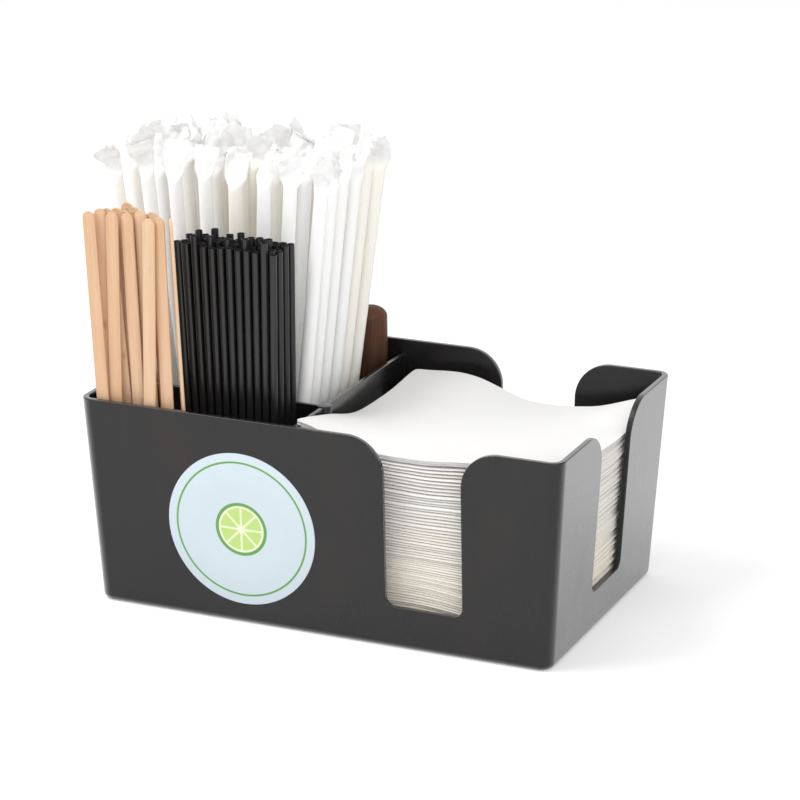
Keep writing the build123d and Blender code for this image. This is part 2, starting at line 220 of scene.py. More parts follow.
class Wiring:
    """Short ways to add nodes to a tree. A value given for an input may be a number, a tuple or a socket."""

    def __init__(self, tree):
        self.tree = tree

    def add(self, kind, inputs=None, **settings):
        node = self.tree.nodes.new("ShaderNode" + kind)
        for name, value in settings.items():
            setattr(node, name, value)
        for name, value in (inputs or {}).items():
            self.feed(node.inputs[name], value)
        return node

    def feed(self, socket, value):
        if isinstance(value, bpy.types.NodeSocket):
            self.tree.links.new(value, socket)
        elif isinstance(value, (int, float)) or len(value) == len(socket.default_value):
            socket.default_value = value
        else:
            socket.default_value = (*value, 1.0)

    def math(self, operation, first, second=0.0, third=0.0, clamp=False):
        node = self.add("Math", operation=operation, use_clamp=clamp)
        for socket, value in zip(node.inputs, (first, second, third)):
            self.feed(socket, value)
        return node.outputs[0]

    def vector(self, operation, first, second=(0, 0, 0)):
        node = self.add("VectorMath", operation=operation)
        self.feed(node.inputs[0], first)
        self.feed(node.inputs[1], second)
        return node.outputs["Value" if operation in ("LENGTH", "DISTANCE", "DOT_PRODUCT") else "Vector"]

    def mix(self, factor, first, second, blend="MIX"):
        node = self.add("Mix", data_type="RGBA", blend_type=blend)
        self.feed(node.inputs[0], factor)
        self.feed(node.inputs[6], first)
        self.feed(node.inputs[7], second)
        return node.outputs[2]

    def remap(self, value, low, high, new_low=0.0, new_high=1.0):
        node = self.add("MapRange", {"Value": value, "From Min": low, "From Max": high,
                                     "To Min": new_low, "To Max": new_high})
        return node.outputs["Result"]

    def noise(self, position, scale, detail=3.0, roughness=0.5):
        node = self.add("TexNoise", {"Vector": position, "Scale": scale, "Detail": detail,
                                     "Roughness": roughness})
        return node.outputs[0]

    def attribute(self, name, output):
        return self.add("Attribute", attribute_name=name).outputs[output]

    def bump(self, height, strength, distance):
        node = self.add("Bump", {"Height": height, "Strength": strength, "Distance": distance})
        return node.outputs["Normal"]


def shared_effect(name, inputs, outputs, wire):
    """
    A shader node group. Inputs and outputs are name to socket kind, and
    wire(w, inside) returns name to socket.
    """
    if name in bpy.data.node_groups:
        return bpy.data.node_groups[name]
    group = bpy.data.node_groups.new(name, "ShaderNodeTree")
    for socket, kind in inputs.items():
        group.interface.new_socket(socket, in_out="INPUT", socket_type="NodeSocket" + kind)
    for socket, kind in outputs.items():
        group.interface.new_socket(socket, in_out="OUTPUT", socket_type="NodeSocket" + kind)
    source = group.nodes.new("NodeGroupInput")
    sink = group.nodes.new("NodeGroupOutput")
    for socket, value in wire(Wiring(group), source.outputs).items():
        group.links.new(value, sink.inputs[socket])
    return group


def use(w, group, **inputs):
    """A shared effect placed in a material. Underscores in input names stand for spaces."""
    node = w.add("Group", node_tree=group)
    for name, value in inputs.items():
        w.feed(node.inputs[name.replace("_", " ")], value)
    return node.outputs


def moulded_effect():
    """Handling marks and the fine texture of moulded plastic."""

    def wire(w, inside):
        position = inside["Position"]
        broad = w.noise(position, 19.0, 2.0, 0.45)
        stretched = w.vector("MULTIPLY", position, (1.0, 1.0, 0.35))
        patches = w.noise(stretched, 46.0, 3.0, 0.55)
        marks = w.math("MULTIPLY", w.remap(broad, 0.42, 0.66), w.remap(patches, 0.45, 0.72))
        peel = w.noise(position, inside["Grain"], 2.0, 0.5)
        return {"Marks": marks, "Height": peel}

    return shared_effect(
        "Moulded surface", {"Position": "Vector", "Grain": "Float"},
        {"Marks": "Float", "Height": "Float"}, wire,
    )


def grain_effect():
    """Long streaks, pores and small knots of wood whose grain runs along Z."""

    def wire(w, inside):
        tone = w.math("MULTIPLY", inside["Tone"], 7.3)
        shift = w.add("CombineXYZ", {"X": tone, "Y": tone, "Z": tone}).outputs[0]
        position = w.vector("ADD", inside["Position"], shift)
        stretched = w.vector("MULTIPLY", position, (1.0, 1.0, 0.035))
        streaks = w.noise(stretched, inside["Fineness"], 4.0, 0.6)
        fine = w.noise(w.vector("MULTIPLY", position, (1.0, 1.0, 0.018)), 2600.0, 2.0, 0.5)
        broad = w.noise(w.vector("MULTIPLY", position, (1.0, 1.0, 0.12)), 120.0, 1.0, 0.5)
        cells = w.add("TexVoronoi", {"Vector": w.vector("MULTIPLY", position, (1.0, 1.0, 0.3)),
                                     "Scale": 95.0, "Randomness": 1.0})
        knots = w.remap(cells.outputs["Distance"], 0.10, 0.03)
        return {
            "Streaks": w.remap(streaks, 0.28, 0.74),
            "Pores": w.remap(fine, 0.35, 0.70),
            "Broad": w.remap(broad, 0.3, 0.7),
            "Knots": knots,
        }

    return shared_effect(
        "Wood grain", {"Position": "Vector", "Fineness": "Float", "Tone": "Float"},
        {"Streaks": "Float", "Pores": "Float", "Broad": "Float", "Knots": "Float"}, wire,
    )


def fibre_effect():
    """Cloudy fibres of soft paper."""

    def wire(w, inside):
        position = inside["Position"]
        cloud = w.noise(position, inside["Cloud"], 3.0, 0.55)
        fibres = w.noise(w.vector("MULTIPLY", position, (1.0, 0.4, 1.0)), inside["Fibre"], 3.0, 0.7)
        height = w.math("MULTIPLY_ADD", fibres, 0.6, w.math("MULTIPLY", cloud, 0.4))
        return {"Cloud": w.remap(cloud, 0.3, 0.7), "Height": height}

    return shared_effect(
        "Paper fibre", {"Position": "Vector", "Cloud": "Float", "Fibre": "Float"},
        {"Cloud": "Float", "Height": "Float"}, wire,
    )


def dots_effect():
    """Rows of small pressed dots, for the embossed border of a napkin."""

    def wire(w, inside):
        turned = w.add("VectorRotate", {"Vector": inside["Position"], "Angle": pi / 4},
                       rotation_type="Z_AXIS").outputs[0]
        parts = w.add("SeparateXYZ", {0: turned}).outputs
        wave_x = w.math("SINE", w.math("MULTIPLY", parts[0], inside["Pitch"]))
        wave_y = w.math("SINE", w.math("MULTIPLY", parts[1], inside["Pitch"]))
        return {"Height": w.remap(w.math("MULTIPLY", wave_x, wave_y), 0.1, 0.9)}

    return shared_effect(
        "Pressed dots", {"Position": "Vector", "Pitch": "Float"}, {"Height": "Float"}, wire,
    )


def new_material(name):
    """A material with only its Principled shader, and the wiring for it."""
    material = bpy.data.materials.new(name)
    material.use_nodes = True
    tree = material.node_tree
    tree.nodes.clear()
    w = Wiring(tree)
    shader = w.add("BsdfPrincipled")
    output = w.add("OutputMaterial")
    tree.links.new(shader.outputs[0], output.inputs["Surface"])
    return material, w, shader


def seen_directly(w):
    """1 for camera, glossy and transmission rays, and 0 for the light that reaches diffuse surfaces."""
    rays = w.add("LightPath").outputs
    mirrored = w.math("MAXIMUM", rays["Is Glossy Ray"], rays["Is Transmission Ray"])
    return w.math("MAXIMUM", rays["Is Camera Ray"], mirrored)


def object_position(w):
    return w.add("TexCoord").outputs["Object"]


def moulded_material(settings):
    """Satin black plastic with faint brownish handling marks."""
    material, w, shader = new_material("moulded_black")
    effect = use(w, moulded_effect(), Position=object_position(w), Grain=1500.0)
    w.feed(shader.inputs["Base Color"], w.mix(effect["Marks"], settings.colour, settings.smudge))
    roughness = w.math("MULTIPLY_ADD", effect["Marks"], 0.16, settings.roughness)
    w.feed(shader.inputs["Roughness"], roughness)
    w.feed(shader.inputs["Normal"], w.bump(effect["Height"], 0.05, 0.00005))
    shader.inputs["IOR"].default_value = 1.45
    facing = w.add("LayerWeight", {"Blend": 0.5}).outputs["Facing"]
    w.feed(shader.inputs["Coat Weight"], w.remap(facing, 0.22, 0.62, 0.0, 0.9))
    shader.inputs["Coat IOR"].default_value = 1.8
    shader.inputs["Coat Roughness"].default_value = 0.2
    return material


def label_material(settings):
    """A pale printed sticker with a ring and one citrus slice."""
    material, w, shader = new_material("label_paper")
    place = w.attribute("rest", "Vector")
    parts = w.add("SeparateXYZ", {0: place}).outputs
    radius = w.vector("LENGTH", place)
    angle = w.math("ARCTAN2", parts[1], parts[0])
    edge = 0.25 * MM
    rim = settings.slice_radius
    inner = rim - 1.6 * MM
    spokes = w.math("ABSOLUTE", w.math("SINE", w.math("MULTIPLY", angle, 4.0)))
    spoke_gap = w.math("MULTIPLY", spokes, radius)
    in_slice = w.remap(radius, rim + edge, rim)
    in_pith = w.remap(radius, inner + edge, inner)
    in_flesh = w.math("MULTIPLY", w.remap(radius, inner - 0.7 * MM, inner - 1.1 * MM),
                      w.remap(spoke_gap, 1.4 * MM, 2.4 * MM))
    off_ring = w.math("ABSOLUTE", w.math("SUBTRACT", radius, settings.ring_radius))
    on_ring = w.remap(off_ring, settings.ring_width / 2 + edge, settings.ring_width / 2)
    fibre = use(w, fibre_effect(), Position=place, Cloud=120.0, Fibre=2500.0)
    paper = w.mix(w.math("MULTIPLY", fibre["Cloud"], 0.12), settings.paper, (0.52, 0.60, 0.66))
    paper = w.mix(on_ring, paper, settings.rind)
    paper = w.mix(in_slice, paper, settings.rind)
    paper = w.mix(in_pith, paper, (0.80, 0.84, 0.62))
    paper = w.mix(in_flesh, paper, settings.flesh)
    w.feed(shader.inputs["Base Color"], paper)
    w.feed(shader.inputs["Normal"], w.bump(fibre["Height"], 0.08, 0.00005))
    shader.inputs["Roughness"].default_value = 0.42
    return material


def napkin_material(name, settings):
    """Soft tissue, white on top and creamier down the stack, with an embossed border. The cream lower down
    is painted shade deeper in the bay.
    """
    material, w, shader = new_material(name)
    place = w.attribute("rest", "Vector")
    tone = w.attribute("tone", "Fac")
    border = w.attribute("border", "Fac")
    fibre = use(w, fibre_effect(), Position=place, Cloud=70.0, Fibre=1400.0)
    dots = use(w, dots_effect(), Position=place, Pitch=3600.0)["Height"]
    # Mix from cream to white by tone; the cream low in the stack is painted shade.
    paper = w.mix(tone, settings.cream, settings.white)
    shade = w.math("MULTIPLY", fibre["Cloud"], 0.10)
    paper = w.mix(shade, paper, w.mix(0.5, paper, settings.cream))
    w.feed(shader.inputs["Base Color"], paper)
    pressed = w.math("MULTIPLY", dots, border)
    height = w.math("MULTIPLY_ADD", pressed, -1.2, fibre["Height"])
    w.feed(shader.inputs["Normal"], w.bump(height, 0.30, 0.00016))
    shader.inputs["Roughness"].default_value = 0.88
    shader.inputs["Specular IOR Level"].default_value = 0.25
    shader.inputs["Sheen Weight"].default_value = 0.12
    return material


def birch_material(settings):
    """Pale birch, each stick with a tone of its own."""
    material, w, shader = new_material("birch")
    tone = w.attribute("tone", "Fac")
    grain = use(w, grain_effect(), Position=w.attribute("rest", "Vector"), Fineness=900.0, Tone=tone)
    depth = w.math("MULTIPLY_ADD", grain["Streaks"], 0.55, w.math("MULTIPLY", tone, 0.45))
    depth = w.math("MULTIPLY", depth, w.math("MULTIPLY_ADD", grain["Broad"], 0.5, 0.6))
    wood = w.mix(depth, settings.pale, settings.warm)
    wood = w.mix(w.math("MULTIPLY", grain["Pores"], 0.22), wood, settings.warm)
    wood = w.mix(w.math("MULTIPLY", grain["Knots"], 0.55), wood, settings.fleck)
    w.feed(shader.inputs["Base Color"], wood)
    w.feed(shader.inputs["Roughness"], w.math("MULTIPLY_ADD", grain["Pores"], 0.12, 0.52))
    w.feed(shader.inputs["Normal"], w.bump(grain["Pores"], 0.14, 0.00008))
    return material


def straw_material(settings):
    """Glossy black extruded tube with faint drawing lines."""
    material, w, shader = new_material("straw_black")
    place = w.attribute("rest", "Vector")
    lines = w.noise(w.vector("MULTIPLY", place, (1.0, 1.0, 0.01)), 1600.0, 2.0, 0.5)
    clouds = w.noise(place, 160.0, 2.0, 0.5)
    w.feed(shader.inputs["Base Color"], w.mix(clouds, settings.colour, (0.013, 0.0125, 0.013)))
    w.feed(shader.inputs["Roughness"], w.math("MULTIPLY_ADD", clouds, 0.14, 0.24))
    w.feed(shader.inputs["Normal"], w.bump(lines, 0.06, 0.00004))
    shader.inputs["IOR"].default_value = 1.5
    return material


def wrapper_material(settings):
    """Thin white paper, whiter or creamier from sleeve to sleeve, with fine creases."""
    material, w, shader = new_material("wrapper_paper")
    place = w.attribute("rest", "Vector")
    tone = w.attribute("tone", "Fac")
    thin = w.attribute("thin", "Fac")
    fibre = use(w, fibre_effect(), Position=place, Cloud=90.0, Fibre=1100.0)
    cells = w.add("TexVoronoi", {"Vector": w.vector("MULTIPLY", place, (1.0, 1.0, 0.5)), "Scale": 260.0},
                  feature="DISTANCE_TO_EDGE")
    creases = w.remap(cells.outputs["Distance"], 0.0, 0.25)
    paper = w.mix(w.remap(tone, 0.45, 1.0), settings.white, settings.cream)
    paper = w.mix(thin, paper, settings.white)
    paper = w.mix(w.math("MULTIPLY", fibre["Cloud"], 0.12), paper, settings.cream)
    w.feed(shader.inputs["Base Color"], paper)
    crumple = w.math("MULTIPLY", creases, w.math("MULTIPLY_ADD", thin, 0.9, 0.1))
    height = w.math("MULTIPLY_ADD", fibre["Height"], 0.2, crumple)
    w.feed(shader.inputs["Normal"], w.bump(height, 0.35, 0.00025))
    shader.inputs["Roughness"].default_value = 0.6
    shader.inputs["Specular IOR Level"].default_value = 0.3
    shader.inputs["Subsurface Weight"].default_value = 0.35
    shader.inputs["Subsurface Radius"].default_value = (0.004, 0.0036, 0.003)
    shader.inputs["Subsurface Scale"].default_value = 1.0
    return material


def dark_wood_material(settings):
    """Dark ribbed wood, with a painted orange highlight near its top."""
    material, w, shader = new_material("dark_wood")
    place = w.attribute("rest", "Vector")
    # The 'thin' share marks where the painted highlight goes on the upper part.
    painted_top_highlight = w.attribute("thin", "Fac")
    grain = use(w, grain_effect(), Position=place, Fineness=420.0, Tone=0.4)
    wood = w.mix(grain["Streaks"], settings.dark, (0.075, 0.030, 0.013))
    top_highlight_mask = w.math("MULTIPLY", painted_top_highlight, w.math("MULTIPLY_ADD", grain["Pores"], 0.7, 0.15), clamp=True)
    wood = w.mix(top_highlight_mask, wood, settings.painted_top_highlight)
    w.feed(shader.inputs["Base Color"], wood)
    w.feed(shader.inputs["Roughness"], w.math("MULTIPLY_ADD", grain["Streaks"], 0.2, 0.42))
    w.feed(shader.inputs["Normal"], w.bump(grain["Streaks"], 0.35, 0.0003))
    shader.inputs["Specular IOR Level"].default_value = 0.25
    return material


# Mesh helpers


def rounded_rectangle(half_x, half_y, radius, corner_steps, side_steps=1):
    """Points round a rectangle with round corners, counter-clockwise from the right side."""
    corners = [(1, 1, 0), (-1, 1, 90), (-1, -1, 180), (1, -1, 270)]
    points = []
    for index, (sign_x, sign_y, start) in enumerate(corners):
        centre = Vector((sign_x * (half_x - radius), sign_y * (half_y - radius)))
        for step in range(corner_steps + 1):
            angle = radians(start + 90 * step / corner_steps)
            points.append(centre + radius * Vector((cos(angle), sin(angle))))
        next_x, next_y, next_start = corners[(index + 1) % 4]
        next_centre = Vector((next_x * (half_x - radius), next_y * (half_y - radius)))
        angle = radians(next_start)
        target = next_centre + radius * Vector((cos(angle), sin(angle)))
        last = points[-1]
        for step in range(1, side_steps):
            points.append(last.lerp(target, step / side_steps))
    return points


class Shell:
    """Collects rings of points that become the skin of one piece."""

    def __init__(self):
        self.points = []
        self.faces = []
        self.facts = {"rest": [], "tone": [], "thin": [], "border": []}

    def skin(self, rings, rest=None, tone=0.0, thin=None, border=None, closed=True, caps=(True, True)):
        """Joins rings with the same number of points. Rest holds the points as they lay before bending."""
        rings = np.asarray(rings, float)
        rest = rings if rest is None else np.asarray(rest, float)
        start = len(self.points)
        count = rings.shape[1]
        flat = rings.reshape(-1, 3)
        self.points.extend(map(tuple, flat))
        self.facts["rest"].extend(map(tuple, rest.reshape(-1, 3)))
        self.facts["tone"].extend([tone] * len(flat))
        for name, values in (("thin", thin), ("border", border)):
            values = np.zeros(len(flat)) if values is None else np.repeat(values, count)
            self.facts[name].extend(values)
        for row in range(rings.shape[0] - 1):
            low = start + row * count
            for index in range(count if closed else count - 1):
                after = (index + 1) % count
                self.faces.append((low + index, low + after, low + count + after, low + count + index))
        if caps[0]:
            self.faces.append(tuple(range(start + count - 1, start - 1, -1)))
        if caps[1]:
            end = start + (rings.shape[0] - 1) * count
            self.faces.append(tuple(range(end, end + count)))

    def mesh(self, name, smooth=45.0):
        mesh = bpy.data.meshes.new(name)
        mesh.from_pydata(self.points, [], self.faces)
        for fact, values in self.facts.items():
            kind = "FLOAT_VECTOR" if fact == "rest" else "FLOAT"
            attribute = mesh.attributes.new(fact, kind, "POINT")
            attribute.data.foreach_set("vector" if fact == "rest" else "value",
                                       np.asarray(values, np.float32).ravel())
        mesh.polygons.foreach_set("use_smooth", [True] * len(mesh.polygons))
        mesh.set_sharp_from_angle(angle=radians(smooth))
        mesh.update()
        return mesh


def place_piece(mesh, body, slot, material, *nodes):
    """Puts a mesh in the scene as a piece that rides on a body and stands for nodes."""
    piece = bpy.data.objects.new(mesh.name, mesh)
    bpy.context.scene.collection.objects.link(piece)
    piece.data.materials.append(material)
    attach(piece, body)
    if nodes:
        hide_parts(*nodes)
    return piece


def solids_of(node):
    """The separate solids of a CAD node, each as an array of its points."""
    form = bmesh.new()
    form.from_mesh(frame["nodes"][node].data)
    bmesh.ops.remove_doubles(form, verts=form.verts, dist=0.002 * MM)
    waiting = set(form.verts)
    solids = []
    while waiting:
        front = [waiting.pop()]
        found = []
        while front:
            vertex = front.pop()
            found.append(tuple(vertex.co))
            for edge in vertex.link_edges:
                other = edge.other_vert(vertex)
                if other in waiting:
                    waiting.remove(other)
                    front.append(other)
        solids.append(np.array(found))
    form.free()
    return sorted(solids, key=lambda points: tuple(points.mean(axis=0).round(5)))


def lie_of(points):
    """Foot, length and axes (along, across, out) of a long straight solid."""
    centre = (points.min(axis=0) + points.max(axis=0)) / 2
    along, across, out = np.linalg.svd(points - points.mean(axis=0))[2]
    along = along * np.sign(along[2])
    across = across * (1.0 if across[0] >= 0 else -1.0)
    out = np.cross(along, across)
    reach = (points - centre) @ along
    foot = centre + along * reach.min()
    return foot, reach.max() - reach.min(), (along, across, out)


def wobble(*place):
    """Smooth noise from about -1 to 1."""
    place = (*place, 0.0, 0.0)[:3]
    return noise.noise(Vector(place))


def smooth_step(value, low, high):
    share_of_way = min(1.0, max(0.0, (value - low) / (high - low)))
    return share_of_way * share_of_way * (3 - 2 * share_of_way)


# Moulding


class Tray:
    """The moulding's outline, worked out from its settings and the CAD tray's box."""

    def __init__(self, settings):
        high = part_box("tray")[1]
        self.settings = settings
        self.half_x = high.x
        self.half_y = high.y
        self.height = high.z

    def half_length(self, z):
        return self.half_x - self.settings.end_flare * (1 - z / self.height)

    def half_width(self, z):
        return self.half_y - self.settings.side_flare * (1 - z / self.height)

    def ring(self, z, inset, corner_steps=12):
        s = self.settings
        outline = rounded_rectangle(
            self.half_length(z) - inset, self.half_width(z) - inset, s.corner_radius - inset, corner_steps
        )
        return [(p.x, p.y, z) for p in outline]

    def rings(self):
        """From the middle of the underside, up the outside, over the rim and down to the floor."""
        s = self.settings
        steps = 5
        rings = []
        for step in range(steps + 1):
            angle = step / steps * pi / 2
            rings.append(self.ring(s.base_round * (1 - cos(angle)), s.base_round * (1 - sin(angle))))
        rings.append(self.ring(self.height, 0))
        rings.append(self.ring(self.height, s.wall))
        for step in range(steps + 1):
            angle = step / steps * pi / 2
            height = s.floor + s.floor_round * (1 - sin(angle))
            rings.append(self.ring(height, s.wall + s.floor_round * (1 - cos(angle))))
        return rings

    def cutout(self):
        """Profile of a finger cut-out as (across, height), from the right shoulder round to the left one."""
        s = self.settings
        top = self.height + 6 * MM
        half = s.cutout_width / 2
        right = [(half + s.cutout_shoulder, top)]
        for step in range(19):
            angle = radians(90 + 90 * step / 18)
            right.append((
                half + s.cutout_shoulder * (1 + cos(angle)),
                self.height - s.cutout_shoulder * (1 - sin(angle)),
            ))
        for step in range(9):
            angle = radians(-90 * step / 8)
            right.append((
                half - s.cutout_corner * (1 - cos(angle)),
                s.cutout_sill + s.cutout_corner * (1 + sin(angle)),
            ))
        return right + [(-across, height) for across, height in reversed(right)]


def carved(base, cutters, edge_round, name):
    """The base mesh less the cutters, with its edges rounded, as a new mesh."""
    scene = bpy.context.scene.collection.objects
    body = bpy.data.objects.new(name, base)
    scene.link(body)
    tools = []
    for cutter in cutters:
        tool = bpy.data.objects.new("cutter", cutter)
        scene.link(tool)
        cut = body.modifiers.new("cut", "BOOLEAN")
        cut.operation = "DIFFERENCE"
        cut.solver = "EXACT"
        cut.object = tool
        tools.append(tool)
    rounding = body.modifiers.new("rounding", "BEVEL")
    rounding.width = edge_round
    rounding.segments = 3
    rounding.limit_method = "ANGLE"
    rounding.angle_limit = radians(35)
    rounding.harden_normals = False
    settle = body.modifiers.new("settle", "WEIGHTED_NORMAL")
    settle.keep_sharp = True
    bpy.context.view_layer.update()
    made = bpy.data.meshes.new_from_object(body.evaluated_get(bpy.context.evaluated_depsgraph_get()))
    made.name = name
    for thing in (body, *tools):
        bpy.data.objects.remove(thing)
    return made


def closed_mesh(name, points, faces):
    """A mesh whose faces all look outwards."""
    mesh = bpy.data.meshes.new(name)
    mesh.from_pydata(points, [], faces)
    form = bmesh.new()
    form.from_mesh(mesh)
    bmesh.ops.recalc_face_normals(form, faces=form.faces)
    form.to_mesh(mesh)
    form.free()
    return mesh


def prism(profile, place, name):
    """
    A closed mesh between two copies of a profile. place(across, height, side) gives a point,
    and side is -1 or 1.
    """
    count = len(profile)
    points = [place(a, h, side) for side in (-1, 1) for a, h in profile]
    faces = [tuple(range(count - 1, -1, -1)), tuple(range(count, 2 * count))]
    for index in range(count):
        after = (index + 1) % count
        faces.append((index, after, count + after, count + index))
    return closed_mesh(name, points, faces)


class CADDY_OT_moulding(bpy.types.Operator):
    """Build the moulded tray and its dividers"""

    bl_idname = "caddy.moulding"
    bl_label = "Tray and Dividers"

    def execute(self, context):
        s = context.scene.caddy_moulding
        material = moulded_material(s)
        tray = Tray(s)
        shell = Shell()
        shell.skin(tray.rings())
        base = shell.mesh("tray_moulding")
        profile = tray.cutout()
        reach = 0.2
        side_cut = prism(profile, lambda a, h, side: (s.cutout_x + a, side * reach, h), "side_cut")
        end_cut = prism(profile, lambda a, h, side: (0.15 + side * 0.05, a, h), "end_cut")
        mesh = carved(base, [side_cut, end_cut], s.edge_round, "tray_moulding")
        place_piece(mesh, "tray_body", "moulded_black", material, "tray")
        self.long_divider(tray, material)
        self.cross_divider(tray, material)
        return {"FINISHED"}

    def long_divider(self, tray, material):
        """The divider from front to back, with the round post."""
        s = tray.settings
        low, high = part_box("long_divider")
        middle = (low.x + high.x) / 2
        top = high.z - s.post_rise
        plate = self.plate(tray, top, lambda across, along, z: (middle + across, along, z), tray.half_width)
        mesh = carved(plate, [], 0.45 * MM, "long_divider_plate")
        place_piece(mesh, "tray_body", "moulded_black", material, "long_divider")
        radius = (high.x - low.x) / 2
        post_y = sum(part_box("cross_divider")[side].y for side in (0, 1)) / 2
        edge = 0.4 * MM
        levels = [(s.floor, radius), (high.z - edge, radius), (high.z - edge * 0.3, radius - edge * 0.3),
                  (high.z, radius - edge)]
        rings = [
            [(middle + r * cos(turn * pi / 20), post_y + r * sin(turn * pi / 20), z) for turn in range(40)]
            for z, r in levels
        ]
        shell = Shell()
        shell.skin(rings)
        place_piece(shell.mesh("divider_post", 30), "tray_body", "moulded_black", material)

    def cross_divider(self, tray, material):
        """The divider that splits the left part into two bays."""
        low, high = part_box("cross_divider")
        middle = (low.y + high.y) / 2
        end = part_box("long_divider")
        stop = (end[0].x + end[1].x) / 2

        def place(across, along, z):
            return (min(along, stop), middle + across, z)

        plate = self.plate(tray, high.z, place, tray.half_length)
        mesh = carved(plate, [], 0.45 * MM, "cross_divider_plate")
        place_piece(mesh, "tray_body", "moulded_black", material, "cross_divider")

    def plate(self, tray, top, place, half_reach):
        """A plate from wall to wall, thicker at the floor."""
        s = tray.settings
        sunk = 0.4 * MM
        corners = []
        for along_side in (-1, 1):
            for z, half in ((s.floor, s.divider_top / 2 + s.divider_draft), (top, s.divider_top / 2)):
                reach = along_side * (half_reach(z) - s.wall + sunk)
                corners.extend([place(-half, reach, z), place(half, reach, z)])
        faces = [(0, 1, 3, 2), (4, 6, 7, 5), (0, 2, 6, 4), (1, 5, 7, 3), (2, 3, 7, 6), (0, 4, 5, 1)]
        mesh = closed_mesh("plate", corners, faces)
        mesh.polygons.foreach_set("use_smooth", [True] * len(mesh.polygons))
        return mesh


class CADDY_OT_label(bpy.types.Operator):
    """Build the round sticker on the front wall"""

    bl_idname = "caddy.label"
    bl_label = "Label"

    def execute(self, context):
        low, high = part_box("label")
        s = context.scene.caddy_moulding
        tray = Tray(s)
        lean = Vector((0, -s.side_flare, tray.height)).normalized()
        out = Vector((0, -lean.z, lean.y))
        right = Vector((1, 0, 0))
        radius = (high.x - low.x) / 2
        middle_z = (low.z + high.z) / 2
        centre = Vector(((low.x + high.x) / 2, -tray.half_width(middle_z), middle_z))
        thickness = 0.25 * MM
        shell = Shell()
        sections = [
            (radius, 0.0), (radius, 0.7), (radius - 0.15 * MM, 1.0),
            (radius * 0.5, 1.0), (0.2 * MM, 1.0),
        ]
        rings, rest = [], []
        for r, lift in sections:
            ring, flat = [], []
            for turn in range(120):
                angle = turn * pi / 60
                flat.append((r * cos(angle), r * sin(angle), 0.0))
                ring.append(centre + right * r * cos(angle) + lean * r * sin(angle) + out * thickness * lift)
            rings.append([tuple(p) for p in ring])
            rest.append(flat)
        shell.skin(rings, rest)
        material = label_material(context.scene.caddy_label)
        place_piece(shell.mesh("round_label"), "tray_body", "label_paper", material, "label")
        return {"FINISHED"}


# Napkins


# How the napkins behave up the stack: where they begin to follow the top one, and how slowly.
FOLLOW_START = 0.5
FOLLOW_POWER = 1.6
TOP_LIFT = 0.2 * MM

# How far the top napkin rises over its lowest place, in millimetres: rows from front to back, left to right.
TOP_SHAPE = np.array([
    (18.5, 9.8, 8.4, 10.8, 9.0),
    (11.5, 8.6, 6.0, 6.0, 5.0),
    (4.5, 6.6, 4.0, 3.2, 3.2),
    (4.8, 7.2, 2.4, 1.8, 3.4),
    (8.0, 8.6, 0.4, 2.0, 11.4),
])


def curve_weights(place):
    """Weights of the five control rows for a place from 0 to 1, on a smooth curve through all of them."""
    scaled = min(3.999, max(0.0, place * 4))
    index = int(scaled)
    t = scaled - index
    basis = [
        0.5 * (-t + 2 * t * t - t ** 3), 0.5 * (2 - 5 * t * t + 3 * t ** 3),
        0.5 * (t + 4 * t * t - 3 * t ** 3), 0.5 * (-t * t + t ** 3),
    ]
    weights = np.zeros(5)
    for offset, weight in enumerate(basis):
        weights[min(4, max(0, index + offset - 1))] += weight
    return weights


